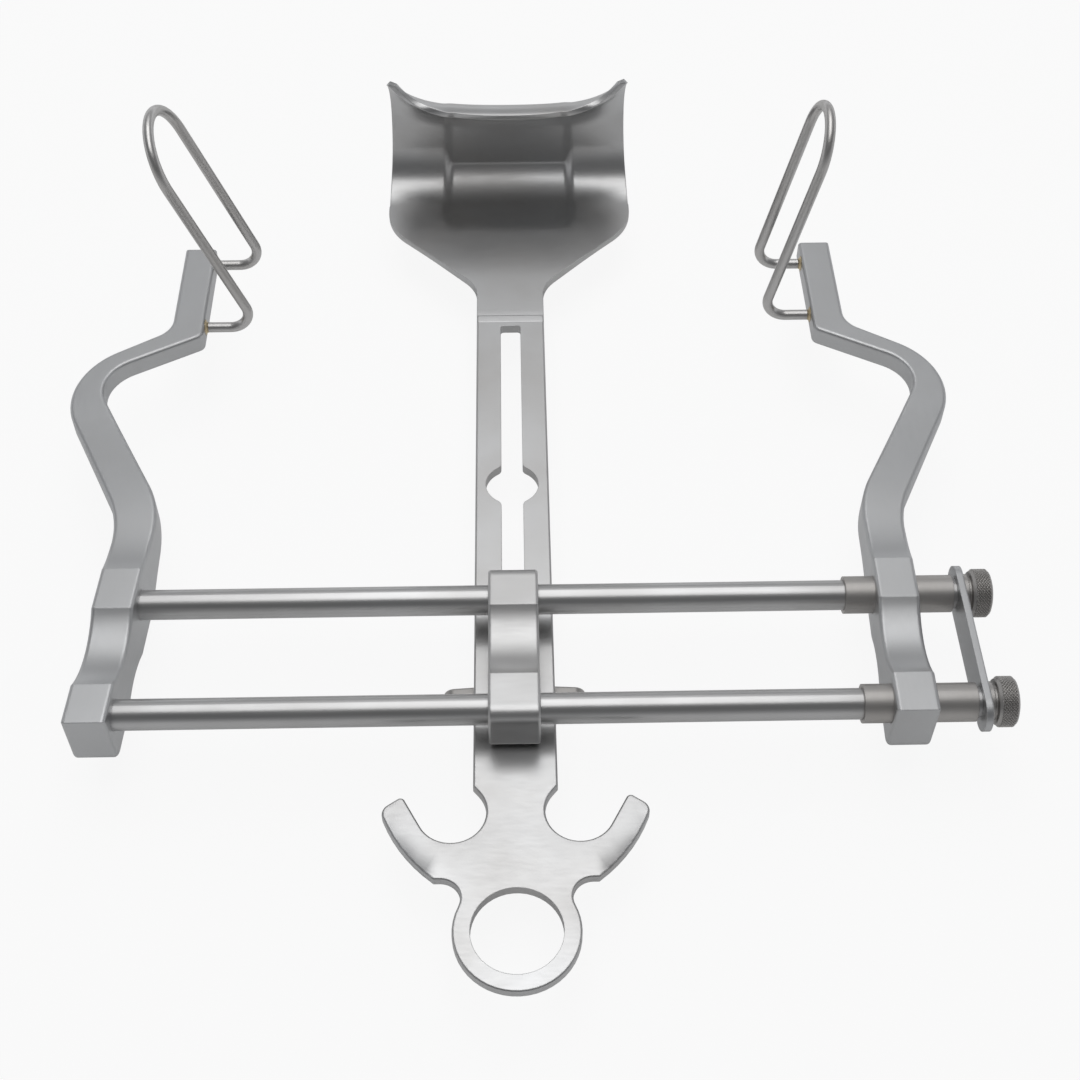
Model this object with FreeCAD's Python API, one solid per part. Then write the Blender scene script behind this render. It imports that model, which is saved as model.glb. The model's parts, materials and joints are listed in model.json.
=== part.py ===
import FreeCAD, Part
import math
import os

Vec = FreeCAD.Vector

# Self retaining abdominal retractor, lying with its blades up.
# X runs along the two rods, Y from the finger ring to the centre blade, Z up.
# The origin is the centre of the finger ring, half way through the shank.
# The frame's own pieces are drawn about the middle of the two rods and moved to that origin at the end.

# Rods
rod_d = 8.0
rod_pitch = 35.0
rod_seat_depth = 8.0
spigot_d = 5.0
spigot_past_washer = 4.4

# Bosses that hold the rods, alike on both arms and on the clamp
boss_h = 13.3
boss_front = 24.2
boss_rear = 24.8
foot_front_low = 11.5
left_rear_low = 11.0
right_rear_low = 7.0
foot_low_r = 3.5
scoop_rear = 11.7
scoop_front = 12.5
scoop_depth = 3.9
arch_reach = 9.0
arch_depth = 2.1
foot_w = 11.0

# Arms, outward from the middle of the root and along Y from the middle of the rods
left_foot_x = -106.6
left_root_x = -102.6
right_foot_x = 100.6
right_root_x = 101.8
arm_fall = 0.4
arm_root_h = 9.2
arm_root_y = 46.0
arm_tip_h = 6.4
arm_thin_y = 84.0
root_out_y = 44.4
root_in_y = 48.7
root_r = 35.0
elbow_out = 33.2
elbow_out_y = 101.0
elbow_out_r = 23.0
elbow_in = 21.5
elbow_in_y = 101.8
elbow_in_r = 12.5
block_out = 0.6
block_w = 9.7
block_out_y = 121.4
block_out_r = 8.0
block_in_y = 118.6
block_in_r = 2.5
block_end_y = 158.5
arm_edge_r = 1.0

# Sleeves in the sliding arm's foot
sleeve_d = 10.0
sleeve_len = 28.7
sleeve_past_foot = 10.6
sleeve_play = 0.05

# Link plate and thumb nuts
plate_gap = 1.2
plate_t = 1.8
plate_h = 10.4
plate_past_rod = 8.0
spigot_play = 0.1
washer_d = 10.4
washer_t = 1.0
washer_play = 0.15
knob_d = 13.0
knob_len = 5.6
knob_bevel = 0.9
knob_dome = 0.5
knob_neck_d = 9.2
knob_neck_len = 0.9
knob_end_wall = 1.4
thread_play = 0.05

# Side blades of bent wire
wire_d = 3.1
wire_z = 0.4
wire_seat = 1.5
wire_reach = 13.6
wire_bend_r = 6.0
wire_top_z = 66.0
wire_mid_y = 139.6
left_wire_pitch = 29.0
left_wire_lean = 20.0
right_wire_pitch = 24.0
right_wire_lean = 12.0
braze_r = 0.9

# Clamp
clamp_w = 13.2
clamp_edge = 0.8
clamp_reach = 24.2
clamp_scoop = 11.0
clamp_corner_r = 3.5
clamp_low_r = 1.2
seat_d = 14.0
seat_gap = 1.1
key_w = 5.0
key_len = 16.0
key_front = 21.6
key_depth = 1.8
slide_play = 0.05
stud_d = 6.0
stud_root = 6.5
stud_end_past = 1.6
nut_h = 8.0
nut_top_d = 12.4
nut_low_d = 10.4
wing_span = 38.0
wing_t = 2.8
wing_fall = 5.4
wing_drop = 12.4
wing_sag_x = 10.0
wing_sag = 4.6
wing_sag_r = 7.0
wing_tip_r = 3.0
wing_edge_r = 0.7
wing_top_step = 0.6
wing_root_rise = 1.6
stud_chamfer = 0.6
clamp_washer_d = 14.0
clamp_washer_t = 1.4

# Centre blade, along Y from the middle of the finger ring
ring_to_rods = 74.5
shank_t = 3.0
shank_w = 21.2
slot_w = 6.2
slot_front_gap = 0.6
slot_end_y = 207.6
slot_corner_r = 1.0
keyhole_d = 15.2
keyhole_y = 140.5
keyhole_neck_r = 2.0
ring_hole_d = 22.2
ring_wall = 4.3
cup_r = 8.6
cup_x = 15.9
cup_y = 32.2
horn_tip_in_x = 28.2
horn_tip_in_y = 36.9
horn_tip_out_x = 33.7
horn_tip_out_y = 33.1
horn_side_x = 27.8
horn_side_y = 21.6
horn_root_x = 20.0
horn_root_y = 13.6
horn_in_r = 1.2
horn_out_r = 3.0
shank_foot_y = 39.3
web_r = 5.0
handle_edge_r = 0.6
head_y = 214.0
shoulder_y = 227.4
shoulder_r = 8.0
flare_y = 256.2
flare_r = 10.0
blade_w = 80.8
blade_waist = 1.7
blade_depth = 56.0
wall_y = 282.7
wall_lean = 4.0
side_lean = 6.0
mid_bend_r = 10.2
side_bend_r = 15.0
dish_w = 40.0
dish_blend = 9.0
wall_top = 21.0
side_rise = 5.0
lip_len = 21.0
lip_turn = 100.0
lip_ease = 26.0
wall_t = 2.2
lip_t = 2.0


# Sizes that follow from those above
boss_r = boss_h / 2
rod_y = rod_pitch / 2
shank_top = -(boss_r + seat_gap)
rods_over_shank = boss_r + seat_gap + shank_t / 2
frame_origin = Vec(0, ring_to_rods, rods_over_shank)
foot_half = foot_w / 2
sleeve_end_x = right_foot_x + foot_half + sleeve_past_foot
plate_x = sleeve_end_x + plate_gap
washer_x = plate_x + plate_t
knob_x = washer_x + washer_t
spigot_end_x = knob_x + spigot_past_washer
big = 400.0


def y_z(y, z):
    """A point of a section across X."""
    return Vec(0, y, z)


def solid_of(wire, way):
    """A closed flat wire pushed along way."""
    return Part.Face(wire).extrude(way)


def arc(a, b, c):
    return Part.Arc(a, b, c).toShape()


def line(a, b):
    return Part.LineSegment(a, b).toShape()


def spline(points, start=None, end=None):
    """A smooth curve through points, with the directions of its ends where given."""
    curve = Part.BSplineCurve()
    if start is None:
        curve.interpolate(Points=points)
    else:
        curve.interpolate(Points=points, InitialTangent=start, FinalTangent=end)
    return curve.toShape()


def chain(*edges):
    return Part.Wire(Part.__sortEdges__(list(edges)))


def x_bar(d, x_from, x_to, y=0.0, z=0.0):
    """A round bar along X."""
    return Part.makeCylinder(d / 2, x_to - x_from, Vec(x_from, y, z), Vec(1, 0, 0))


def rounded(corners):
    """A closed flat outline through corners of (x, y, radius), each turned with its radius."""
    edges = []
    count = len(corners)
    last = None
    first = None
    for number in range(count):
        here = Vec(*corners[number][:2], 0)
        radius = corners[number][2]
        before = (Vec(*corners[number - 1][:2], 0) - here).normalize()
        after = (Vec(*corners[(number + 1) % count][:2], 0) - here).normalize()
        into = here
        out_of = here
        if radius > 0:
            half = before.getAngle(after) / 2
            into = here + before * (radius / math.tan(half))
            out_of = here + after * (radius / math.tan(half))
            bisector = (before + after).normalize()
            middle = here + bisector * (radius / math.sin(half) - radius)
            turn = arc(into, middle, out_of)
        if last is not None:
            edges.append(line(last, into))
        if radius > 0:
            edges.append(turn)
        first = into if first is None else first
        last = out_of
    edges.append(line(last, first))
    return Part.Wire(edges)


def raised(wire, low, height):
    """A flat outline pushed up from low by height."""
    moved = wire.copy()
    moved.translate(Vec(0, 0, low))
    return solid_of(moved, Vec(0, 0, height))


def round_edges(shape, radius, wanted):
    edges = [edge for edge in shape.Edges if wanted(edge)]
    return shape.makeFillet(radius, edges)


def corner(y, z, r):
    """A quarter turn that rounds a section's corner at y, z."""
    in_y = y - math.copysign(r, y)
    in_z = z - math.copysign(r, z)
    k = r * math.sqrt(0.5)
    middle = y_z(in_y + math.copysign(k, y), in_z + math.copysign(k, z))
    return arc(y_z(in_y, z), middle, y_z(y, in_z))


def top_scoop(rear, front):
    """The finger scoop between the two rods."""
    return arc(y_z(rear, boss_r), y_z((rear - front) / 2, boss_r - scoop_depth), y_z(-front, boss_r))


def under_arch(front_z, rear_z):
    """The shallow arch under a boss, between its front and rear ends."""
    middle_z = (front_z + rear_z) / 2
    return arc(y_z(-arch_reach, front_z), y_z(0, middle_z + arch_depth), y_z(arch_reach, rear_z))


def clamp_section():
    """The clamp's section: both upper corners well rounded, both lower ones only eased."""
    top = boss_r
    reach = clamp_reach
    upper = clamp_corner_r
    lower = clamp_low_r
    return chain(
        top_scoop(clamp_scoop, clamp_scoop),
        line(y_z(-clamp_scoop, top), y_z(upper - reach, top)),
        corner(-reach, top, upper),
        line(y_z(-reach, top - upper), y_z(-reach, lower - top)),
        corner(-reach, -top, lower),
        line(y_z(lower - reach, -top), y_z(-arch_reach, -top)),
        under_arch(-top, -top),
        line(y_z(arch_reach, -top), y_z(reach - lower, -top)),
        corner(reach, -top, lower),
        line(y_z(reach, lower - top), y_z(reach, top - upper)),
        corner(reach, top, upper),
        line(y_z(reach - upper, top), y_z(clamp_scoop, top)),
    )


def arm_section(rear_low):
    """The arm's bosses, with the bar that thins towards the block at its end."""
    top = boss_r
    front = -boss_front
    root = arm_root_h / 2
    tip = arm_tip_h / 2
    level = Vec(0, 1, 0)
    top_end = y_z(boss_rear, top)
    low_end = y_z(boss_rear, -rear_low)
    low_front = y_z(front + foot_low_r, -foot_front_low)
    slope = (low_end.z - low_front.z) / (low_end.y - low_front.y)
    arch_front = low_front.z + slope * (-arch_reach - low_front.y)
    arch_rear = low_front.z + slope * (arch_reach - low_front.y)
    top_bar = spline([top_end, y_z(arm_root_y, root), y_z(arm_thin_y, tip)], Vec(0, 1, -arm_fall), level)
    low_bar = spline([low_end, y_z(arm_root_y, -root), y_z(arm_thin_y, -tip)], Vec(0, 1, arm_fall), level)
    past = block_end_y + foot_w
    return chain(
        line(top_end, y_z(scoop_rear, top)), top_scoop(scoop_rear, scoop_front),
        line(y_z(-scoop_front, top), y_z(front, top)),
        line(y_z(front, top), y_z(front, foot_low_r - foot_front_low)),
        corner(front, -foot_front_low, foot_low_r), line(low_front, y_z(-arch_reach, arch_front)),
        under_arch(arch_front, arch_rear), line(y_z(arch_reach, arch_rear), low_end),
        top_bar, line(y_z(arm_thin_y, tip), y_z(past, tip)), line(y_z(past, tip), y_z(past, -tip)),
        line(y_z(past, -tip), y_z(arm_thin_y, -tip)), low_bar,
    )


def foot_middle(foot_x, root_x, y):
    """The middle of an arm's foot at y: it runs from foot_x at the front to root_x at the root."""
    return foot_x + (root_x - foot_x) * (y + boss_front) / (arm_root_y + boss_front)


def arm_plan(foot_x, root_x, out):
    """The arm seen from above: out is +1 for the arm that bows to +X and -1 for the other."""
    front = -boss_front - foot_w
    block_in = block_out - block_w

    def foot(u, y, r):
        return (foot_middle(foot_x, root_x, y) + out * u, y, r)

    def bar(u, y, r):
        return (root_x + out * u, y, r)

    return rounded([
        foot(-foot_half, front, 0), foot(foot_half, front, 0), foot(foot_half, root_out_y, root_r),
        bar(elbow_out, elbow_out_y, elbow_out_r), bar(block_out, block_out_y, block_out_r),
        bar(block_out, block_end_y, 0), bar(block_in, block_end_y, 0), bar(block_in, block_in_y, block_in_r),
        bar(elbow_in, elbow_in_y, elbow_in_r), foot(-foot_half, root_in_y, root_r),
    ])


def make_arm(foot_x, root_x, rear_low, out):
    """One forged arm: rod bosses, a bar that bows outwards and a flat block for the wire."""
    seen_above = raised(arm_plan(foot_x, root_x, out), -big / 2, big)
    section = arm_section(rear_low)
    section.translate(Vec(foot_x - big / 2, 0, 0))
    seen_aside = solid_of(section, Vec(big, 0, 0))
    arm = seen_above.common(seen_aside).Solids[0]

    def to_round(edge):
        middle = edge.CenterOfMass
        if middle.y < boss_rear - 0.1:
            return edge.BoundBox.XLength < foot_half
        across_end = abs(middle.y - block_end_y) < 1.0
        return middle.y > boss_rear + 1.0 and abs(middle.z) > 1.0 and edge.Length > 3.0 and not across_end

    return round_edges(arm, arm_edge_r, to_round)


def rod_seat(y):
    """Where a rod ends inside the fixed arm's foot."""
    return foot_middle(left_foot_x, left_root_x, y) + foot_half - rod_seat_depth


def make_left_arm():
    arm = make_arm(left_foot_x, left_root_x, left_rear_low, -1)
    for y in (rod_y, -rod_y):
        arm = arm.cut(x_bar(rod_d, rod_seat(y), rod_seat(y) + 2 * foot_w, y))
    return arm


def make_right_arm():
    arm = make_arm(right_foot_x, right_root_x, right_rear_low, 1)
    for y in (rod_y, -rod_y):
        arm = arm.cut(x_bar(sleeve_d, right_foot_x - foot_w, right_foot_x + foot_w, y))
    return arm


def make_rod(y):
    """A rod from its seat in the fixed arm to the shoulder and spigot at the link plate."""
    bar = x_bar(rod_d, rod_seat(y), plate_x, y)
    spigot = x_bar(spigot_d, plate_x - rod_d, spigot_end_x, y)
    return bar.fuse(spigot).removeSplitter()


def make_sleeve(y):
    outside = x_bar(sleeve_d, sleeve_end_x - sleeve_len, sleeve_end_x, y)
    bore = x_bar(rod_d + 2 * sleeve_play, sleeve_end_x - 2 * sleeve_len, sleeve_end_x + sleeve_len, y)
    return outside.cut(bore)


def make_link_plate():
    """A flat strip with round ends, holed for the two spigots."""
    half = plate_h / 2
    reach = rod_y + plate_past_rod
    straight = reach - half
    a = Vec(plate_x, straight, half)
    b = Vec(plate_x, straight, -half)
    c = Vec(plate_x, -straight, -half)
    d = Vec(plate_x, -straight, half)
    outline = chain(
        arc(a, Vec(plate_x, reach, 0), b), line(b, c), arc(c, Vec(plate_x, -reach, 0), d), line(d, a)
    )
    plate = solid_of(outline, Vec(plate_t, 0, 0))
    for y in (rod_y, -rod_y):
        plate = plate.cut(x_bar(spigot_d + 2 * spigot_play, plate_x - 1, plate_x + 2 * plate_t, y))
    return plate


def make_nut_washer(y):
    disc = x_bar(washer_d, washer_x, knob_x, y)
    hole = x_bar(spigot_d + 2 * washer_play, washer_x - washer_t, knob_x + washer_t, y)
    return disc.cut(hole)


def make_thumb_nut(y):
    """A round nut with a groove behind its bevelled, slightly domed head."""
    head_x = knob_x + knob_neck_len
    end_x = head_x + knob_len
    r = knob_d / 2
    bore_r = spigot_d / 2 + thread_play
    bore_end = end_x - knob_end_wall
    start = Vec(knob_x, y, 0)
    neck_foot = Vec(knob_x, y, knob_neck_d / 2)
    neck_top = Vec(head_x, y, knob_neck_d / 2)
    head_foot = Vec(head_x, y, r - knob_bevel)
    rim_foot = Vec(head_x + knob_bevel, y, r)
    rim_top = Vec(end_x - knob_dome, y, r)
    dome_r = (r ** 2 + knob_dome ** 2) / (2 * knob_dome)
    dome_mid = Vec(end_x - dome_r + math.sqrt(dome_r ** 2 - (r / 2) ** 2), y, r / 2)
    tip = Vec(end_x, y, 0)
    half = chain(
        line(start, neck_foot), line(neck_foot, neck_top), line(neck_top, head_foot),
        line(head_foot, rim_foot), line(rim_foot, rim_top), arc(rim_top, dome_mid, tip), line(tip, start),
    )
    nut = Part.Face(half).revolve(Vec(0, y, 0), Vec(1, 0, 0), 360)
    return Part.makeSolid(nut).cut(x_bar(2 * bore_r, knob_x - knob_len, bore_end, y))


def wire_path(face_x, out, pitch, lean):
    """Inwards from the block, up with a lean outwards, round the top and back down."""
    a = math.radians(lean)
    up = Vec(out * math.sin(a), 0, math.cos(a))
    turn = math.radians(90) + a
    reach_x = face_x - out * wire_reach
    loop_r = pitch / 2
    bend_in = Vec(reach_x + out * wire_bend_r, 0, wire_z)

    def on_bend(angle):
        return bend_in + Vec(-out * math.sin(angle), 0, 1 - math.cos(angle)) * wire_bend_r

    bend_mid = on_bend(turn / 2)
    bend_out = on_bend(turn)
    side_len = (wire_top_z - bend_out.z) / up.z - loop_r
    top = bend_out + up * side_len
    start = Vec(face_x + out * wire_seat, 0, wire_z)

    def near(point):
        return point + Vec(0, wire_mid_y - loop_r, 0)

    def far(point):
        return point + Vec(0, wire_mid_y + loop_r, 0)

    crown = top + up * loop_r + Vec(0, wire_mid_y, 0)
    edges = [
        line(near(start), near(bend_in)), arc(near(bend_in), near(bend_mid), near(bend_out)),
        line(near(bend_out), near(top)), arc(near(top), crown, far(top)),
        line(far(top), far(bend_out)), arc(far(bend_out), far(bend_mid), far(bend_in)),
        line(far(bend_in), far(start)),
    ]
    return Part.Wire(edges)


def make_wire_blade(face_x, out, pitch, lean):
    path = wire_path(face_x, out, pitch, lean)
    start = path.Vertexes[0].Point
    ring = Part.Wire(Part.makeCircle(wire_d / 2, start, Vec(1, 0, 0)))
    return path.makePipeShell([ring], True, True)


def wire_holes(face_x, out, pitch):
    """The two seats that the wire's ends are brazed into."""
    holes = []
    for y in (wire_mid_y - pitch / 2, wire_mid_y + pitch / 2):
        holes.append(Part.makeCylinder(wire_d / 2, wire_seat, Vec(face_x, y, wire_z), Vec(out, 0, 0)))
    return holes


def make_braze(face_x, out, pitch):
    """The fillet of braze round each end of the wire, hollow like a bell's flare."""
    wire_r = wire_d / 2
    rings = []
    for y in (wire_mid_y - pitch / 2, wire_mid_y + pitch / 2):
        root = Vec(face_x, y, wire_z + wire_r)
        wide = Vec(face_x, y, wire_z + wire_r + braze_r)
        along = Vec(face_x - out * braze_r, y, wire_z + wire_r)
        dip = braze_r * (1 - math.sqrt(0.5))
        hollow = Vec(face_x - out * dip, y, wire_z + wire_r + dip)
        face = Part.Face(chain(line(root, wide), arc(wide, hollow, along), line(along, root)))
        rings.append(face.revolve(Vec(face_x, y, wire_z), Vec(1, 0, 0), 360))
    return Part.makeCompound(rings)


def make_clamp_block():
    """The sliding block: rod bores, and below it a round seat, a key and the stud's hole."""
    section = clamp_section()
    section.translate(Vec(-clamp_w / 2, 0, 0))
    block = solid_of(section, Vec(clamp_w, 0, 0))
    side = clamp_w / 2 - 0.01
    block = round_edges(block, clamp_edge, lambda edge: abs(edge.CenterOfMass.x) > side)
    inside = -boss_r / 2
    seat_low = shank_top + slide_play
    seat = Part.makeCylinder(seat_d / 2, inside - seat_low, Vec(0, 0, seat_low))
    seat = seat.common(Part.makeBox(clamp_w, seat_d, boss_h, Vec(-clamp_w / 2, -seat_d / 2, -boss_h)))
    key_low = shank_top - key_depth
    key = Part.makeBox(key_w, key_len, inside - key_low, Vec(-key_w / 2, -key_front, key_low))
    block = block.fuse([seat, key]).removeSplitter()
    for y in (rod_y, -rod_y):
        block = block.cut(x_bar(rod_d + 2 * sleeve_play, -clamp_w, clamp_w, y))
    return block.cut(Part.makeCylinder(stud_d / 2, stud_root, Vec(0, 0, shank_top)))


def make_clamp_stud():
    """The threaded stud, brazed into the block and hanging through the slot."""
    low = shank_top - shank_t - clamp_washer_t - nut_h - stud_end_past
    stud = Part.makeCylinder(stud_d / 2, shank_top + stud_root - low, Vec(0, 0, low))
    return stud.makeChamfer(stud_chamfer, [e for e in stud.Edges if abs(e.CenterOfMass.z - low) < 0.01])


def make_clamp_washer():
    top = shank_top - shank_t - slide_play
    disc = Part.makeCylinder(clamp_washer_d / 2, clamp_washer_t, Vec(0, 0, top - clamp_washer_t))
    hole = Part.makeCylinder(stud_d / 2 + washer_play, 3 * clamp_washer_t, Vec(0, 0, top - 2 * clamp_washer_t))
    return disc.cut(hole)


def wing_outline(out, top):
    """One wing seen along Y: it leaves the hub's top, sags and droops to a round tip."""
    half = wing_span / 2
    low = top - wing_drop
    root = nut_low_d / 4
    root_low = top - nut_h + wing_root_rise
    corners = [
        (root, top - wing_top_step, 0), (wing_sag_x, top - wing_sag, wing_sag_r),
        (half, top - wing_fall, wing_tip_r), (half, low, wing_tip_r),
        (half - 2 * wing_tip_r, low, wing_tip_r), (root, root_low, 0),
    ]
    outline = rounded([(out * x, z, r) for x, z, r in corners])
    outline.rotate(Vec(0, 0, 0), Vec(1, 0, 0), 90)
    outline.translate(Vec(0, wing_t / 2, 0))
    return outline


def make_wing_nut():
    """A tapered hub with two rounded wings that spread sideways below the shank."""
    top = shank_top - shank_t - slide_play - clamp_washer_t
    hub = Part.makeCone(nut_low_d / 2, nut_top_d / 2, nut_h, Vec(0, 0, top - nut_h))
    wings = [solid_of(wing_outline(out, top), Vec(0, -wing_t, 0)) for out in (1, -1)]
    nut = hub.fuse(wings).removeSplitter()
    hub_r = nut_top_d / 2

    def on_wing(edge):
        middle = edge.CenterOfMass
        return abs(abs(middle.y) - wing_t / 2) < 0.01 and abs(middle.x) > hub_r

    nut = round_edges(nut, wing_edge_r, on_wing)
    bore = Part.makeCylinder(stud_d / 2 + thread_play, 3 * nut_h, Vec(0, 0, top - 2 * nut_h))
    return nut.cut(bore)


def at_corner(edge, x, y):
    """True for an upright edge that stands at x, y on either side of the middle."""
    middle = edge.CenterOfMass
    upright = abs(edge.tangentAt(edge.FirstParameter).z) > 0.9
    return upright and math.hypot(abs(middle.x) - x, middle.y - y) < 0.4


def make_horns():
    """The two finger hooks with the neck between them, as one outline over the shank's foot."""
    half = shank_w / 2
    tip_in = (horn_tip_in_x, horn_tip_in_y)
    tip_out = (horn_tip_out_x, horn_tip_out_y)
    root = (horn_root_x, horn_root_y)
    run = math.hypot(horn_tip_in_x - cup_x, horn_tip_in_y - cup_y)
    swing = math.atan2(horn_tip_in_y - cup_y, horn_tip_in_x - cup_x) - math.acos(cup_r / run)
    cup_end = (cup_x + cup_r * math.cos(swing), cup_y + cup_r * math.sin(swing))
    away = math.hypot(half - cup_x, shank_foot_y - cup_y)
    neck_turn = math.atan2(shank_foot_y - cup_y, half - cup_x) + math.acos(cup_r / away)
    neck_in = (cup_x + cup_r * math.cos(neck_turn), cup_y + cup_r * math.sin(neck_turn))
    edges = [line(Vec(-half, shank_foot_y, 0), Vec(half, shank_foot_y, 0))]
    for out in (1, -1):
        def at(point):
            return Vec(out * point[0], point[1], 0)

        edges += [
            line(at((0, horn_root_y)), at(root)), arc(at(root), at((horn_side_x, horn_side_y)), at(tip_out)),
            line(at(tip_out), at(tip_in)), line(at(tip_in), at(cup_end)),
            arc(at(cup_end), at((cup_x, cup_y - cup_r)), at(neck_in)),
            line(at(neck_in), at((half, shank_foot_y))),
        ]
    horns = raised(chain(*edges), -shank_t / 2, shank_t)
    horns = round_edges(horns, horn_in_r, lambda edge: at_corner(edge, *tip_in))
    return round_edges(horns, horn_out_r, lambda edge: at_corner(edge, *tip_out))


def make_handle():
    """Finger ring, finger hooks, neck and shank, cut from one plate with eased edges."""
    low = -shank_t / 2
    ring_r = ring_hole_d / 2 + ring_wall
    ring = Part.makeCylinder(ring_r, shank_t, Vec(0, 0, low))
    shank_len = head_y - shank_foot_y
    shank = Part.makeBox(shank_w, shank_len, shank_t, Vec(-shank_w / 2, shank_foot_y, low))
    plate = ring.fuse([make_horns(), shank]).removeSplitter()
    web_x = math.sqrt(ring_r ** 2 - horn_root_y ** 2)
    plate = round_edges(plate, web_r, lambda edge: at_corner(edge, web_x, horn_root_y))

    def on_rim(edge):
        flat = abs(abs(edge.CenterOfMass.z) - shank_t / 2) < 0.01
        return flat and edge.CenterOfMass.y < head_y - 1.0

    return round_edges(plate, handle_edge_r, on_rim)


def blade_outline():
    """The head seen from above: shank, rounded shoulders and the flare to the full width."""
    half = shank_w / 2
    wide = blade_w / 2
    far = wall_y + blade_w
    right = [(half, head_y, 0), (half, shoulder_y, shoulder_r), (wide, flare_y, flare_r), (wide, far, 0)]
    left = [(-x, y, r) for x, y, r in reversed(right)]
    return rounded(right + left)


def blade_front():
    """The head seen along Y: both side edges drawn in a little half way up the wall."""
    wide = blade_w / 2

    def side(out):
        low = Vec(out * wide, head_y, -shank_t)
        waist = Vec(out * (wide - blade_waist), head_y, blade_depth / 2)
        high = Vec(out * wide, head_y, blade_depth)
        return [low, waist, high]

    right = side(1)
    left = side(-1)
    return chain(spline(right), line(right[-1], left[-1]), spline(left), line(left[0], right[0]))


def blade_profile(x):
    """The blade's section at x: flat, bend, wall and the lip that hooks back towards the handle."""
    s = abs(2 * x / blade_w)
    blend = min(1.0, max(0.0, (abs(x) - dish_w / 2) / dish_blend + 0.5))
    bend_r = mid_bend_r + (side_bend_r - mid_bend_r) * blend ** 2 * (3 - 2 * blend)
    turn = math.radians(90 - wall_lean - side_lean * s ** 2)
    lip = math.radians(lip_turn - lip_ease * s ** 6)
    lip_r = lip_len / lip
    top = shank_t / 2
    bend_y = wall_y - bend_r

    def way(a):
        return Vec(0, math.cos(a), math.sin(a))

    def down(a):
        return Vec(0, math.sin(a), -math.cos(a))

    bend_centre = Vec(x, bend_y, top + bend_r)
    bend = [bend_centre + down(a) * bend_r for a in (0, turn / 2, turn)]
    wall_end = bend[2] + way(turn) * ((wall_top + side_rise * s ** 4 - bend[2].z) / math.sin(turn))
    lip_centre = wall_end - down(turn) * lip_r
    lips = [lip_centre + down(turn + lip * share) * lip_r for share in (0, 0.5, 1)]
    bend_out = [p + down(a) * t for p, a, t in zip(bend, (0, turn / 2, turn),
                                                 (shank_t, (shank_t + wall_t) / 2, wall_t))]
    lip_out = [p + down(turn + lip * share) * (wall_t + (lip_t - wall_t) * share)
               for p, share in zip(lips, (0, 0.5, 1))]
    start = Vec(x, head_y, top)
    start_out = Vec(x, head_y, -top)
    return Part.Wire([
        line(start, bend[0]), arc(*bend), line(bend[2], lips[0]), arc(*lips), line(lips[2], lip_out[2]),
        arc(*reversed(lip_out)), line(lip_out[0], bend_out[2]), arc(*reversed(bend_out)),
        line(bend_out[0], start_out), line(start_out, start),
    ])


def make_blade_head():
    """The saddle: sections across the blade, lofted and then trimmed to the outline."""
    reach = blade_w / 2 * 1.03
    right = [0.2, 0.38, 0.48, 0.58, 0.7, 0.85, 1]
    sections = [blade_profile(reach * share) for share in [-v for v in reversed(right)] + [0] + right]
    head = Part.makeLoft(sections, True, False)
    head = head.common(raised(blade_outline(), -blade_w, 2 * blade_w))
    return head.common(solid_of(blade_front(), Vec(0, 2 * blade_w, 0)))


def make_slot():
    """The slot that the stud and key run in, with the round keyhole that lets the blade off."""
    half = slot_w / 2
    front = ring_to_rods - key_front - slot_front_gap
    corners = [(half, front), (half, slot_end_y), (-half, slot_end_y), (-half, front)]
    slot = raised(rounded([(x, y, slot_corner_r) for x, y in corners]), -shank_t, 2 * shank_t)
    keyhole = Part.makeCylinder(keyhole_d / 2, 2 * shank_t, Vec(0, keyhole_y, -shank_t))
    both = slot.fuse(keyhole).removeSplitter()
    step = math.sqrt((keyhole_d / 2) ** 2 - half ** 2)
    return round_edges(both, keyhole_neck_r, lambda edge: at_corner(edge, half, keyhole_y + step)
                       or at_corner(edge, half, keyhole_y - step))


def make_centre_blade():
    """Handle, slotted shank and saddle blade, forged in one piece."""
    plate = make_handle().fuse(make_blade_head()).removeSplitter()
    hole = Part.makeCylinder(ring_hole_d / 2, 2 * shank_t, Vec(0, 0, -shank_t))
    return plate.cut([hole, make_slot()])


def make_parts():
    left_face = left_root_x + (block_w - block_out)
    right_face = right_root_x - (block_w - block_out)
    left_holes = wire_holes(left_face, -1, left_wire_pitch)
    right_holes = wire_holes(right_face, 1, right_wire_pitch)
    frame = {
        "left_arm": make_left_arm().cut(left_holes),
        "rear_rod": make_rod(rod_y),
        "front_rod": make_rod(-rod_y),
        "left_wire_blade": make_wire_blade(left_face, -1, left_wire_pitch, left_wire_lean),
        "left_braze": make_braze(left_face, -1, left_wire_pitch),
        "link_plate": make_link_plate(),
        "rear_nut_washer": make_nut_washer(rod_y),
        "front_nut_washer": make_nut_washer(-rod_y),
        "rear_thumb_nut": make_thumb_nut(rod_y),
        "front_thumb_nut": make_thumb_nut(-rod_y),
        "right_arm": make_right_arm().cut(right_holes),
        "rear_sleeve": make_sleeve(rod_y),
        "front_sleeve": make_sleeve(-rod_y),
        "right_wire_blade": make_wire_blade(right_face, 1, right_wire_pitch, right_wire_lean),
        "right_braze": make_braze(right_face, 1, right_wire_pitch),
        "clamp_block": make_clamp_block(),
        "clamp_stud": make_clamp_stud(),
        "clamp_washer": make_clamp_washer(),
        "wing_nut": make_wing_nut(),
    }
    for shape in frame.values():
        shape.translate(frame_origin)
    frame["centre_blade"] = make_centre_blade()
    return frame


os.makedirs("parts", exist_ok=True)
for name, shape in make_parts().items():
    shape.exportStep(os.path.join("parts", name + ".step"))
    box = shape.BoundBox
    print(name, len(shape.Solids), round(shape.Volume, 1), shape.isValid(),
          [round(v, 1) for v in (box.XMin, box.XMax, box.YMin, box.YMax, box.ZMin, box.ZMax)])
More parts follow.
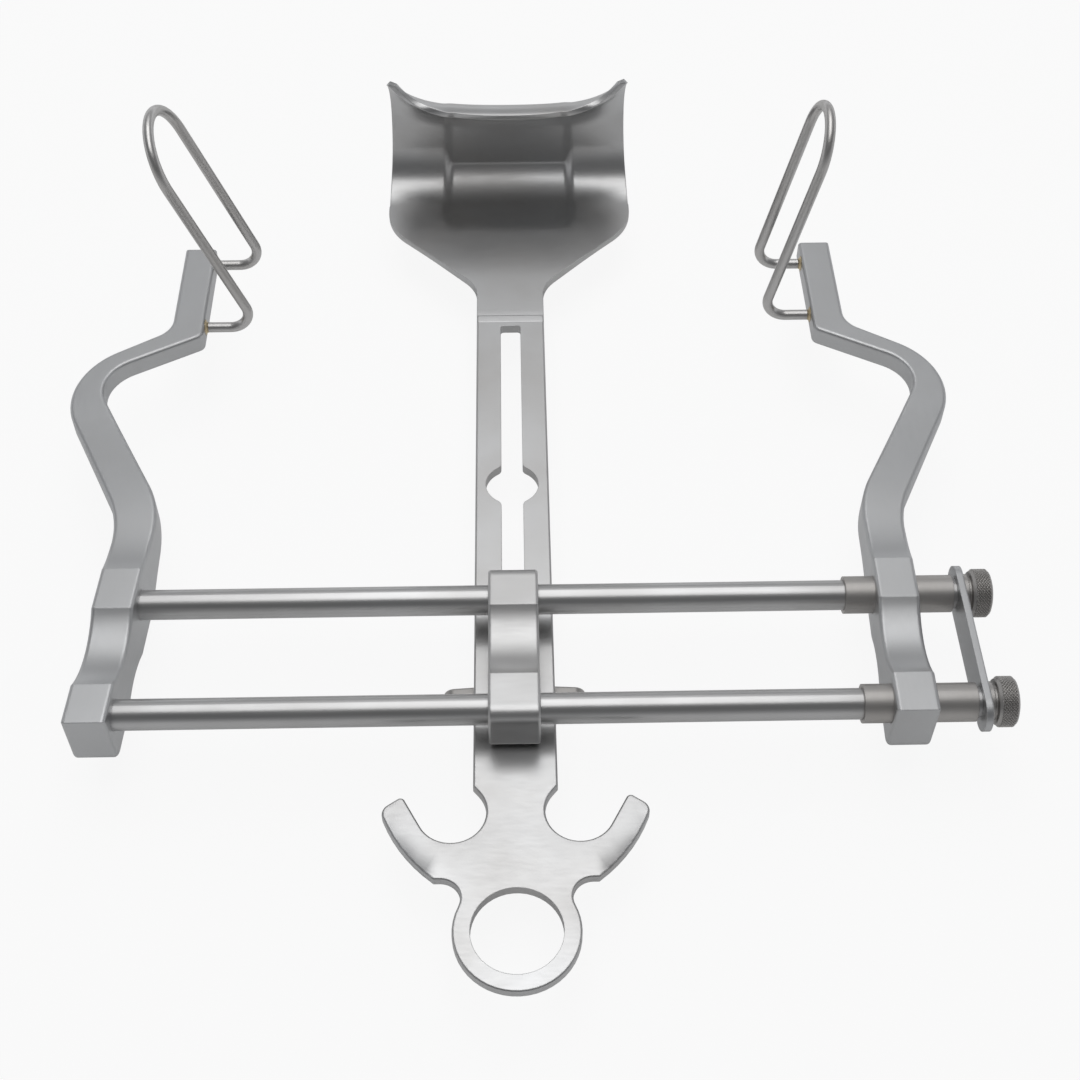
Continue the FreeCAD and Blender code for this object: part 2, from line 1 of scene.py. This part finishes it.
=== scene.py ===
# %% [markdown]
# A self retaining retractor lies on a pale table with its blades standing up.
# The packed solids already have the right places and sizes, so this lesson dresses them:
# each kind of steel gets its own finish, and the small worked details are modelled over them.

# %% Load the solids
import bpy
import bmesh
import json
import math
from mathutils import Matrix, Vector


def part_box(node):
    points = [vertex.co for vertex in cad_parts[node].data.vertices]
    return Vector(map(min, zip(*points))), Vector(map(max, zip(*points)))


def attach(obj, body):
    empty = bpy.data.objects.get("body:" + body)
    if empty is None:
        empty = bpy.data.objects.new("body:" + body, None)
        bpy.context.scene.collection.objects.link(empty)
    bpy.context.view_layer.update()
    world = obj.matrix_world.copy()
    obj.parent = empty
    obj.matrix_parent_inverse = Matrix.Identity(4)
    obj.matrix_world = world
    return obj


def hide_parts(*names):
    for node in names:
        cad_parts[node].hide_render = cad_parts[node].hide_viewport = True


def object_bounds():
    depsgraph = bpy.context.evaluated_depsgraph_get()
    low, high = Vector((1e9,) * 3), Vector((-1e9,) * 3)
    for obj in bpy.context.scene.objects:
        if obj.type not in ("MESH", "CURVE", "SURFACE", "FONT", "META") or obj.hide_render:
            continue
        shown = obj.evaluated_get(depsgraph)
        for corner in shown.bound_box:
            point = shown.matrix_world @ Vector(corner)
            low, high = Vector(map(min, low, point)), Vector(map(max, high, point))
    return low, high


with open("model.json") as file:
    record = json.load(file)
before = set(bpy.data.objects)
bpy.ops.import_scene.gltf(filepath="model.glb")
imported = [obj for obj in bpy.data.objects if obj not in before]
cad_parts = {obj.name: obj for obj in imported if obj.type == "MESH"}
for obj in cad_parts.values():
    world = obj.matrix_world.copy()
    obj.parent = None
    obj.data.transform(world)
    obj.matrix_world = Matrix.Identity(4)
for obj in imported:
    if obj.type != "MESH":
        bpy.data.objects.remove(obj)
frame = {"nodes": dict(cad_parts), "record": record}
solid_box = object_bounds()
nodes = frame["nodes"]
print("solids:", len(nodes))

# %% [markdown]
# The photograph looks down at about fifty degrees, from the finger ring's side, with a normal lens.
# The camera's place was worked out from the rods, the shank and the keyhole, whose sizes are known.
# Its axes are written out as three directions, which leaves no doubt about which way is up.

# %% Camera
def look(place, tilt, yaw, roll, lens):
    """A camera at place, tilted up from straight down, turned about the upright axis and rolled."""
    up_turn, side_turn, spin = (math.radians(angle) for angle in (tilt, yaw, roll))
    level = Vector((math.sin(side_turn), math.cos(side_turn), 0))
    ahead = level * math.sin(up_turn) - Vector((0, 0, math.cos(up_turn)))
    right = ahead.cross(Vector((0, 0, 1))).normalized()
    up = right.cross(ahead)
    across = right * math.cos(spin) + up * math.sin(spin)
    above = up * math.cos(spin) - right * math.sin(spin)
    camera = bpy.data.objects.new("camera", bpy.data.cameras.new("camera"))
    bpy.context.scene.collection.objects.link(camera)
    axes = Matrix((across, above, -ahead)).transposed().to_4x4()
    camera.matrix_world = Matrix.Translation(place) @ axes
    camera.data.lens = lens
    camera.data.clip_start = 0.01
    bpy.context.scene.camera = camera
    return camera


camera = look(place=Vector((0.0016, -0.1792, 0.35645)),
              tilt=40.06, yaw=1.16, roll=0.09, lens=55.07)
print("camera stands", round(camera.matrix_world.translation.length, 3), "m from the ring")

# %% [markdown]
# Shader sums read best as plain Python, so one small class wraps a node's output socket.
# An expression on two wrapped values adds the Math node that the same sum would need by hand.

# %% A value in a material
class Value:
    def __init__(self, finish, socket):
        self.finish = finish
        self.socket = socket

    def math(self, operation, first, second):
        return self.finish.node("ShaderNodeMath", {"operation": operation}, {0: first, 1: second})

    def __add__(self, other):
        return self.math("ADD", self, other)

    def __radd__(self, other):
        return self.math("ADD", other, self)

    def __mul__(self, other):
        return self.math("MULTIPLY", self, other)

    def __rmul__(self, other):
        return self.math("MULTIPLY", other, self)


print("values add and multiply")


# %% [markdown]
# A finish is one material, or the world. Its node method adds any node: settings first, then the
# values or links of its sockets. The other methods are the few steps that every steel here needs.

# %% A finish
class Finish:
    def __init__(self, owner, shader="Principled BSDF"):
        owner.use_nodes = True
        self.material = owner
        self.tree = owner.node_tree
        self.shader = self.tree.nodes[shader]

    def node(self, kind, settings=None, sockets=None, out=0):
        made = self.tree.nodes.new(kind)
        for key, value in (settings or {}).items():
            setattr(made, key, value)
        for key, value in (sockets or {}).items():
            self.put(made, key, value)
        return Value(self, made.outputs[out])

    def put(self, made, key, value):
        if isinstance(value, Value):
            self.tree.links.new(value.socket, made.inputs[key])
        else:
            made.inputs[key].default_value = value

    def place(self, scale=(1, 1, 1)):
        """Object coordinates in metres, stretched by scale."""
        here = self.node("ShaderNodeTexCoord", out="Object")
        return self.node("ShaderNodeMapping", None, {"Vector": here, "Scale": scale})

    def noise(self, where, scale, detail):
        sockets = {"Vector": where, "Scale": scale, "Detail": detail}
        return self.node("ShaderNodeTexNoise", None, sockets, "Fac")

    def spread(self, value, low, high):
        """Stretches the middle of a noise, where nearly all of it lies, to low ... high."""
        return self.ramp(value, 0.3, 0.7, low, high)

    def ramp(self, value, start, stop, low, high, shape="LINEAR"):
        """low where value is at start, high where it is at stop, and in between elsewhere."""
        return self.node("ShaderNodeMapRange", {"interpolation_type": shape},
                         {"Value": value, "From Min": start, "From Max": stop,
                          "To Min": low, "To Max": high})

    def blend(self, share, a, b):
        return self.node("ShaderNodeMix", {"data_type": "RGBA"},
                         {"Factor": share, "A": a, "B": b}, "Result")


print("finishes have", ", ".join(name for name in vars(Finish) if not name.startswith("_")))

# %% [markdown]
# Surgical steel is a satin grey that takes its look from what it mirrors.
# Three things make it steel and not grey paint: full metallic, a roughness that drifts a little
# from place to place, and a very fine grain left by the polishing belt. The grain is a noise
# stretched along the way the belt ran, and it feeds both the roughness and a shallow bump.

# %% Satin steel
cloud_scale, cloud_drift = 30.0, 0.03
grain_drift, grain_strength, grain_relief = 0.025, 0.04, 0.00005


def steel(name, light, dark, rough, grain, edge=0.0003):
    """A satin steel: two tones, a roughness, a grain's scale along X, Y, Z, and eased edges."""
    finish = Finish(bpy.data.materials.new(name))
    clouds = finish.noise(finish.place(), cloud_scale, 3.0)
    lines = finish.noise(finish.place(grain), 1.0, 2.0)
    tones = finish.blend(finish.spread(clouds, 0.0, 1.0), dark, light)
    drift = finish.spread(clouds, rough + cloud_drift, rough - cloud_drift)
    eased = finish.node("ShaderNodeBevel", {"samples": 4}, {"Radius": edge})
    grained = finish.node("ShaderNodeBump", None,
                          {"Height": lines, "Strength": grain_strength,
                           "Distance": grain_relief, "Normal": eased})
    finish.put(finish.shader, "Base Color", tones)
    finish.put(finish.shader, "Metallic", 1.0)
    finish.put(finish.shader, "Roughness", drift + finish.spread(lines, -grain_drift, grain_drift))
    finish.put(finish.shader, "Normal", grained)
    print("finish", name)
    return finish.material


def tone(level, warm=0.0):
    """A grey, turned to yellow by warm above 0 and to blue below it."""
    return (level * (1 + warm), level, level * (1 - warm), 1.0)


# %% [markdown]
# The arms and the clamp are ground dull, the rods and the blade are polished brighter, and the
# sleeves and nuts look a little darker and warmer. A gold-coloured braze holds the side wires.
# The grain runs the way the piece was ground: along an arm or a rod, and round a sleeve.

# %% The steels of this instrument
finishes = {
    "arm_steel": steel(
        "arm_steel", tone(0.58, -0.012), tone(0.53, -0.006), 0.40, (1400, 160, 1400), edge=0.0006),
    "clamp_steel": steel(
        "clamp_steel", tone(0.57), tone(0.52, 0.01), 0.38, (160, 1400, 1400), edge=0.0005),
    "rod_steel": steel(
        "rod_steel", tone(0.56), tone(0.50, 0.01), 0.33, (40, 1600, 1600)),
    "sleeve_steel": steel(
        "sleeve_steel", tone(0.50, 0.025), tone(0.45, 0.04), 0.44, (1800, 120, 120)),
    "wire_steel": steel(
        "wire_steel", tone(0.58, 0.01), tone(0.52, 0.03), 0.32, (900, 900, 200)),
    "nut_steel": steel(
        "nut_steel", tone(0.48, 0.025), tone(0.42, 0.035), 0.40, (1200, 1200, 1200), edge=0.00015),
    "blade_steel": steel(
        "blade_steel", tone(0.56, -0.006), tone(0.49, 0.015), 0.33, (240, 1200, 1200)),
    "braze": steel(
        "braze", (0.66, 0.55, 0.36, 1.0), (0.56, 0.46, 0.30, 1.0), 0.38, (900, 900, 900)),
}
print("made", len(finishes), "finishes")

# %% [markdown]
# The packed record names a material slot for each solid, so the finishes are handed out by it.
# Only the material changes: a solid's place and its mesh stay as they came.

# %% Give each solid its steel
for part in frame["record"]["subparts"]:
    solid = nodes[part["node"]]
    solid.data.materials.clear()
    solid.data.materials.append(finishes[part["material_slot"]])

# %% [markdown]
# Edit mode works on what is selected, so a few helpers set the selection before each step.
# They open a piece for editing, pick faces or edges by their place, and close it with its
# shading smooth across gentle angles and crisp across sharp ones.

# %% Tools for modelling
def start_edit(piece):
    bpy.ops.object.select_all(action="DESELECT")
    piece.select_set(True)
    bpy.context.view_layer.objects.active = piece
    bpy.ops.object.mode_set(mode="EDIT")


def end_edit(piece, angle):
    bpy.ops.object.mode_set(mode="OBJECT")
    bpy.ops.object.select_all(action="DESELECT")
    piece.select_set(True)
    bpy.ops.object.shade_smooth_by_angle(angle=math.radians(angle))
    piece.select_set(False)


def pick(piece, kind, wanted):
    """Selects the faces, edges or verts that wanted says, and nothing else."""
    bpy.ops.mesh.select_all(action="DESELECT")
    bpy.ops.mesh.select_mode(type={"faces": "FACE", "edges": "EDGE"}[kind])
    shape = bmesh.from_edit_mesh(piece.data)
    count = 0
    for part in getattr(shape, kind):
        if wanted(part):
            part.select_set(True)
            count += 1
    shape.select_flush_mode()
    bmesh.update_edit_mesh(piece.data)
    return count


print("tools: start_edit, end_edit, pick")

# %% [markdown]
# A turned part is a circle drawn out along its axis. The circle is extruded along X from one
# station to the next and resized there, as a lathe cuts one diameter after another.
# Its two open ends are filled last, and the normals are then made to point outwards.

# %% Turning
def turned(name, y, z, stations, sides):
    """A circle round the X axis through y, z, extruded through stations of (x, radius)."""
    bpy.ops.object.select_all(action="DESELECT")
    x, r = stations[0]
    bpy.ops.mesh.primitive_circle_add(vertices=sides, radius=r, location=(x, y, z),
                                      rotation=(0, math.pi / 2, 0))
    piece = bpy.context.object
    piece.name = name
    bpy.ops.object.transform_apply(location=True, rotation=True, scale=True)
    start_edit(piece)
    bpy.ops.mesh.select_mode(type="EDGE")
    bpy.ops.mesh.select_all(action="SELECT")
    for x_next, r_next in stations[1:]:
        bpy.ops.mesh.extrude_region_move(TRANSFORM_OT_translate={"value": (x_next - x, 0, 0)})
        if r_next != r:
            bpy.ops.transform.resize(value=(1, r_next / r, r_next / r),
                                     center_override=(x_next, y, z))
        x, r = x_next, r_next
    bpy.ops.mesh.select_all(action="SELECT")
    bpy.ops.mesh.fill_holes(sides=0)
    bpy.ops.mesh.normals_make_consistent(inside=False)
    return piece


print("tool: turned")

# %% [markdown]
# Each thumb nut has a diamond knurl, which is two sets of crossing grooves pressed into its rim.
# Poking each square of the rim and dissolving its old edges leaves diamonds, and a small inset
# lifts every diamond out of its grooves. That is real relief, so it also shows in silhouette.

# %% Knurling
groove, ridge_gap = 0.0003, 0.00016


def knurl(nut, y, z, root, start, stop):
    """Presses diamonds into the rim of radius root round y, z, from X start to stop."""
    hair = 1e-6

    def on_rim(point):
        return math.hypot(point.y - y, point.z - z) > root * 0.9

    def in_band(face):
        middle = face.calc_center_median()
        return start < middle.x < stop and on_rim(middle)

    def old_edge(edge):
        a, b = edge.verts
        inside = start + hair < (a.co.x + b.co.x) / 2 < stop - hair
        return inside and on_rim(a.co) and on_rim(b.co) and max(a.index, b.index) < old_verts

    squares = pick(nut, "faces", in_band)
    old_verts = len(bmesh.from_edit_mesh(nut.data).verts)
    bpy.ops.mesh.poke()
    bmesh.from_edit_mesh(nut.data).verts.index_update()
    pick(nut, "edges", old_edge)
    bpy.ops.mesh.dissolve_edges(use_verts=False)
    diamonds = pick(nut, "faces", in_band)
    bpy.ops.mesh.inset(thickness=ridge_gap, depth=groove, use_individual=True)
    print(nut.name, "has", squares, "squares turned to", diamonds, "diamonds")


# %% [markdown]
# The nut itself is a short neck, a bevelled rim and a low dome, with a bore from the neck's side.
# Its place and outer size are those of the solid that it stands for.

# %% Knurled thumb nuts
bore_r, end_wall = 0.00255, 0.0014
neck_r, neck_len, neck_bevel, neck_flare = 0.0046, 0.0009, 0.0003, 0.0002
rim_bevel, dome_edge = 0.0007, 0.0010
sides, rows = 44, 5


def thumb_nut(name, node, body):
    low, high = (Vector(corner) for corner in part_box(node))
    y, z = (low.y + high.y) / 2, (low.z + high.z) / 2
    rim = (high.z - low.z) / 2
    root = rim - groove
    head, end = low.x + neck_len, high.x
    start, stop = head + rim_bevel, end - dome_edge
    bore = [(end - end_wall, bore_r), (low.x, bore_r)]
    neck = [(low.x, neck_r - neck_bevel), (low.x + neck_bevel, neck_r), (head - 0.0001, neck_r)]
    face = [(head, neck_r + neck_flare), (head, rim - rim_bevel)]
    band = [(start + (stop - start) * row / rows, root) for row in range(rows + 1)]
    dome = [(end - 0.0006, rim - 0.0006), (end - 0.0003, rim - 0.0014),
            (end - 0.0001, rim * 0.5), (end, rim * 0.2)]
    nut = turned(name, y, z, bore + neck + face + band + dome, sides)
    knurl(nut, y, z, root, start, stop)
    end_edit(nut, 25.0)
    nut.data.materials.append(finishes["nut_steel"])
    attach(nut, body)
    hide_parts(node)


thumb_nut("rear_knurled_nut", "rear_thumb_nut", "rear_thumb_nut")
thumb_nut("front_knurled_nut", "front_thumb_nut", "front_thumb_nut")

# %% [markdown]
# The saddle blade is pressed from plate: a flat, a bend with a pocket in its middle, a wall,
# and a rim that hooks back over. Its highlights run along those bends, so its surface has to be
# smoother than a coarse mesh gives. Seen from above it is a shank that widens through a hollow
# shoulder and a straight slant to a rounded corner, and that outline comes first.

# %% The blade's outline
plate_t = 0.003
half_shank, half_blade = 0.0106, 0.0404
shoulder, shoulder_r = Vector((half_shank, 0.2272)), 0.012
flare, flare_r = Vector((half_blade, 0.2560)), 0.020


def ease(share):
    """0 to 1, slow at both ends."""
    share = min(1.0, max(0.0, share))
    return share * share * (3 - 2 * share)


def half_width(y):
    """Half the blade's width at y: shank, hollow shoulder, slant and rounded corner."""
    slant = flare - shoulder
    turn = math.atan2(slant.x, slant.y)
    near, far = (r * math.tan(turn / 2) for r in (shoulder_r, flare_r))
    if y < shoulder.y - near:
        return half_shank
    if y < shoulder.y + near * math.cos(turn):
        return half_shank + shoulder_r - math.sqrt(shoulder_r ** 2 - (y - shoulder.y + near) ** 2)
    if y < flare.y - far * math.cos(turn):
        return shoulder.x + (y - shoulder.y) * math.tan(turn)
    if y < flare.y + far:
        return half_blade - flare_r + math.sqrt(flare_r ** 2 - (flare.y + far - y) ** 2)
    return half_blade


print("half widths, mm:", [round(half_width(y / 1000) * 1000, 1) for y in (212, 230, 240, 260)])

# %% [markdown]
# The section says how the plate rises along the blade. In the middle the bend is wide at first
# and then tight, and sinks a little, which makes the pocket; at the sides it is one plain bend.
# The wall leans back slightly, and more at the sides. The hooked rim rises to the corners and
# curls less there.

# %% The blade's section
wall_y, wall_top, corner_rise = 0.2827, 0.021, 0.005
pocket_half, pocket_edge, pocket_depth = 0.0208, 0.0036, 0.0009
pocket_start, pocket_run = 0.254, 0.011
pocket_bend, crease_bend, side_bend = 0.0170, 0.0025, 0.0150
crease_turn = math.radians(50)
wall_turn, wall_lean = 86, 6
hook_turn, hook_open = 100, 26
lip_len, lip_corner = 0.021, 0.003
root_y, seam_y, seam_step, flat_end = 0.2095, 0.2123, 0.0002, 0.2662


def section(x, stations):
    """Points of the inner surface at x: the flat, the bend, the wall and the hooked rim."""
    side = abs(x) / half_blade
    blend = ease((abs(x) - pocket_half) / pocket_edge + 0.5)
    turn = math.radians(wall_turn - wall_lean * side ** 2)
    hook = math.radians(hook_turn - hook_open * side ** 6)
    hook_r = lip_len / hook
    top = plate_t / 2
    wide = pocket_bend + (side_bend - pocket_bend) * blend
    tight = crease_bend + (side_bend - crease_bend) * blend
    reach = wide * math.sin(crease_turn) + tight * (math.sin(turn) - math.sin(crease_turn))
    bend_y = wall_y - reach

    def on_bend(angle):
        """The bend where it has turned by angle: wide up to the crease and tight from there."""
        first, second = min(angle, crease_turn), max(angle, crease_turn)
        y = wide * math.sin(first) + tight * (math.sin(second) - math.sin(crease_turn))
        z = wide * (1 - math.cos(first)) + tight * (math.cos(crease_turn) - math.cos(second))
        return Vector((bend_y + y, top + z))

    bend_end = on_bend(turn)
    rise = wall_top + corner_rise * side ** 4 - bend_end.y
    wall_end = bend_end + Vector((math.cos(turn), math.sin(turn))) * (rise / math.sin(turn))
    hook_centre = wall_end + Vector((-math.sin(turn), math.cos(turn))) * hook_r
    points = []
    for kind, share in stations:
        sunk = pocket_depth * (1 - blend)
        if kind == "flat":
            point = Vector((share, top))
            sunk *= ease((share - pocket_start) / pocket_run)
        if kind == "toe":
            point = Vector((flat_end + (bend_y - flat_end) * share, top))
        if kind == "bend":
            point = on_bend(turn * share)
        if kind == "wall":
            point = bend_end.lerp(wall_end, share)
            sunk *= 1 - ease(share)
        if kind == "hook":
            angle = turn + hook * share
            point = hook_centre + Vector((math.sin(angle), -math.cos(angle))) * hook_r
            sunk = 0.0
        points.append(point - Vector((0, sunk)))
    return points


flat_rows, bend_rows, wall_rows, hook_rows = 44, 30, 8, 20
stations = [("flat", root_y), ("flat", seam_y - seam_step), ("flat", seam_y + seam_step)]
stations += [("flat", seam_y + (flat_end - seam_y) * i / flat_rows)
             for i in range(2, flat_rows + 1)]
bend_row = len(stations) + 1
stations += [("toe", 0.5)] + [("bend", i / bend_rows) for i in range(bend_rows + 1)]
stations += [("wall", i / wall_rows) for i in range(1, wall_rows + 1)]
stations += [("hook", i / hook_rows) for i in range(1, hook_rows + 1)]
print("stations along the blade:", len(stations))

# %% [markdown]
# One grid is laid over the blade: each row is a station along the section, and each column a share
# of the width. Solidify then gives it the plate's thickness, less towards the wall where the
# pressing drew it thin, and Bevel rounds its rim. The first rows lie just inside the shank's
# surface, so that the two shells overlap there and no two faces lie in one place.

# %% Laying the grid
columns = 121
waist, waist_z = 0.0017, 0.028
thin_y, thin_run, thin_share = 0.224, 0.022, 0.4
hidden_rows, hidden_depth, hidden_share = 2, 0.00003, 0.02
bpy.ops.object.select_all(action="DESELECT")
bpy.ops.mesh.primitive_grid_add(x_subdivisions=columns - 1, y_subdivisions=len(stations) - 1,
                                size=1.0)
blade = bpy.context.object
blade.name = "saddle_blade"
thick = blade.vertex_groups.new(name="thick")
sections = {}
for corner in blade.data.vertices:
    column = round((corner.co.x + 0.5) * (columns - 1))
    row = round((corner.co.y + 0.5) * (len(stations) - 1))
    kind, along = stations[row]
    share = 2 * column / (columns - 1) - 1
    if column not in sections:
        sections[column] = section(share * half_blade, stations)
    y, z = sections[column][row]
    half, thinned = half_width(y), thin_share * ease((y - thin_y) / thin_run)
    if row >= bend_row:
        half = half_blade - waist * max(0.0, 1 - (z / waist_z - 1) ** 2)
        thinned = thin_share
    from_lip = lip_len * (1 - along) if kind == "hook" else lip_corner
    if from_lip < lip_corner:
        half -= lip_corner - math.sqrt(lip_corner ** 2 - (lip_corner - from_lip) ** 2)
    hidden = row < hidden_rows
    sink = hidden_depth if hidden else 0.0
    corner.co = (share * (half - sink), y, z - sink)
    thick.add([corner.index], 1 - thinned - (hidden_share if hidden else 0.0), "REPLACE")
print("grid has", len(blade.data.polygons), "faces")

# %% Thickness and rounded rim
plate = blade.modifiers.new("plate", "SOLIDIFY")
plate.thickness = plate_t
plate.offset = -1.0
plate.vertex_group = "thick"
plate.use_even_offset = True
rim = blade.modifiers.new("rim", "BEVEL")
rim.width = 0.0006
rim.segments = 3
rim.limit_method = "ANGLE"
rim.angle_limit = math.radians(50)
bpy.context.view_layer.objects.active = blade
for name in ("plate", "rim"):
    bpy.ops.object.modifier_apply(modifier=name)
print("saddle has", len(blade.data.polygons), "faces")

# %% [markdown]
# The ring, the hooks and the slotted shank are right as they are, so they are copied from the
# solid, cut off at the seam and joined to the saddle. The solid's mesh is loose triangles, so
# the copy's doubles are merged before the cut.

# %% Handle and shank, joined to the saddle
handle = nodes["centre_blade"].copy()
handle.data = nodes["centre_blade"].data.copy()
bpy.context.scene.collection.objects.link(handle)
start_edit(handle)
bpy.ops.mesh.customdata_custom_splitnormals_clear()
bpy.ops.mesh.select_all(action="SELECT")
bpy.ops.mesh.remove_doubles(threshold=0.000002)
bpy.ops.mesh.bisect(plane_co=(0, seam_y, 0), plane_no=(0, 1, 0), clear_outer=True, use_fill=True)
bpy.ops.object.mode_set(mode="OBJECT")
bpy.ops.object.select_all(action="DESELECT")
for piece in (handle, blade):
    piece.data.materials.clear()
    piece.data.materials.append(finishes["blade_steel"])
    piece.select_set(True)
bpy.context.view_layer.objects.active = blade
bpy.ops.object.join()
bpy.ops.object.shade_smooth_by_angle(angle=math.radians(35))
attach(blade, "centre_blade")
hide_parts("centre_blade")
print("blade and handle:", len(blade.data.polygons), "faces")

# %% [markdown]
# The table is a plain white sheet. It shows as white to the camera and in the steel's
# reflections, and still catches the soft shadow of the object.

# %% Table
table_size, table_gap = 40.0, 0.0002
camera_white, mirror_white = 0.9, 0.12
low_z = solid_box[0][2]
bpy.ops.object.select_all(action="DESELECT")
bpy.ops.mesh.primitive_plane_add(size=table_size, location=(0, 0, low_z - table_gap))
table = bpy.context.object
table.name = "table"
paper = Finish(bpy.data.materials.new("paper"))
paper.put(paper.shader, "Base Color", (0.9, 0.9, 0.9, 1.0))
paper.put(paper.shader, "Roughness", 0.9)
seen = paper.node("ShaderNodeLightPath", out="Is Camera Ray")
mirrored = paper.node("ShaderNodeLightPath", out="Is Glossy Ray")
white = paper.node("ShaderNodeEmission", None, {"Color": (1.0, 1.0, 1.0, 1.0), "Strength": 1.0})
sheet = Value(paper, paper.shader.outputs[0])
both = paper.node("ShaderNodeMixShader", None,
                  {"Fac": seen * camera_white + mirrored * mirror_white, 1: sheet, 2: white})
paper.put(paper.tree.nodes["Material Output"], "Surface", both)
table.data.materials.append(paper.material)
print("table lies at", round(low_z * 1000, 1), "mm")

# %% [markdown]
# Satin metal shows its surroundings, so the room matters more than any lamp.
# One wide softbox hangs over the object, and a fainter one behind it: they give the rods their
# bright band and the handle its light grey. The room round them is a dim grey, darker on the
# viewer's side, which is what the lower half of each rod mirrors, and pale near the horizon.

# %% Softboxes
lamp_z = 1.15


def softbox(name, y, width, length, power):
    """A flat lamp that faces down from lamp_z over y."""
    lamp = bpy.data.lights.new(name, "AREA")
    lamp.shape = "RECTANGLE"
    lamp.size = width
    lamp.size_y = length
    lamp.energy = power
    holder = bpy.data.objects.new(name, lamp)
    bpy.context.scene.collection.objects.link(holder)
    holder.location = (0, y, lamp_z)
    print(name, "gives", round(power / width / length, 2), "watts a square metre")


softbox("top_box", y=0.30, width=0.84, length=1.20, power=4.9)
softbox("far_box", y=1.25, width=0.70, length=0.60, power=0.95)

# %% Room
near_grey, far_grey = 0.16, 0.36
horizon, horizon_near = 0.55, 0.3
room = Finish(bpy.data.worlds.new("room"), "Background")
bpy.context.scene.world = room.material
way = room.node("ShaderNodeTexCoord", out="Generated")
split = room.node("ShaderNodeSeparateXYZ", None, {"Vector": way})
height = Value(room, split.socket.node.outputs["Z"])
ahead = Value(room, split.socket.node.outputs["Y"])
walls = room.ramp(ahead, -0.5, 0.6, near_grey, far_grey)
behind = room.ramp(ahead, -0.7, 0.0, horizon_near, 1.0, "SMOOTHSTEP")
pale = room.ramp(height, 0.10, 0.42, horizon, 0.0, "SMOOTHSTEP")
room.put(room.shader, "Color", (0.97, 0.98, 1.0, 1.0))
room.put(room.shader, "Strength", walls + pale * behind)
print("the room's grey goes from", near_grey, "to", far_grey)

# %% [markdown]
# The Standard view shows each colour about as it is written.

# %% View
bpy.context.scene.view_settings.view_transform = "Standard"
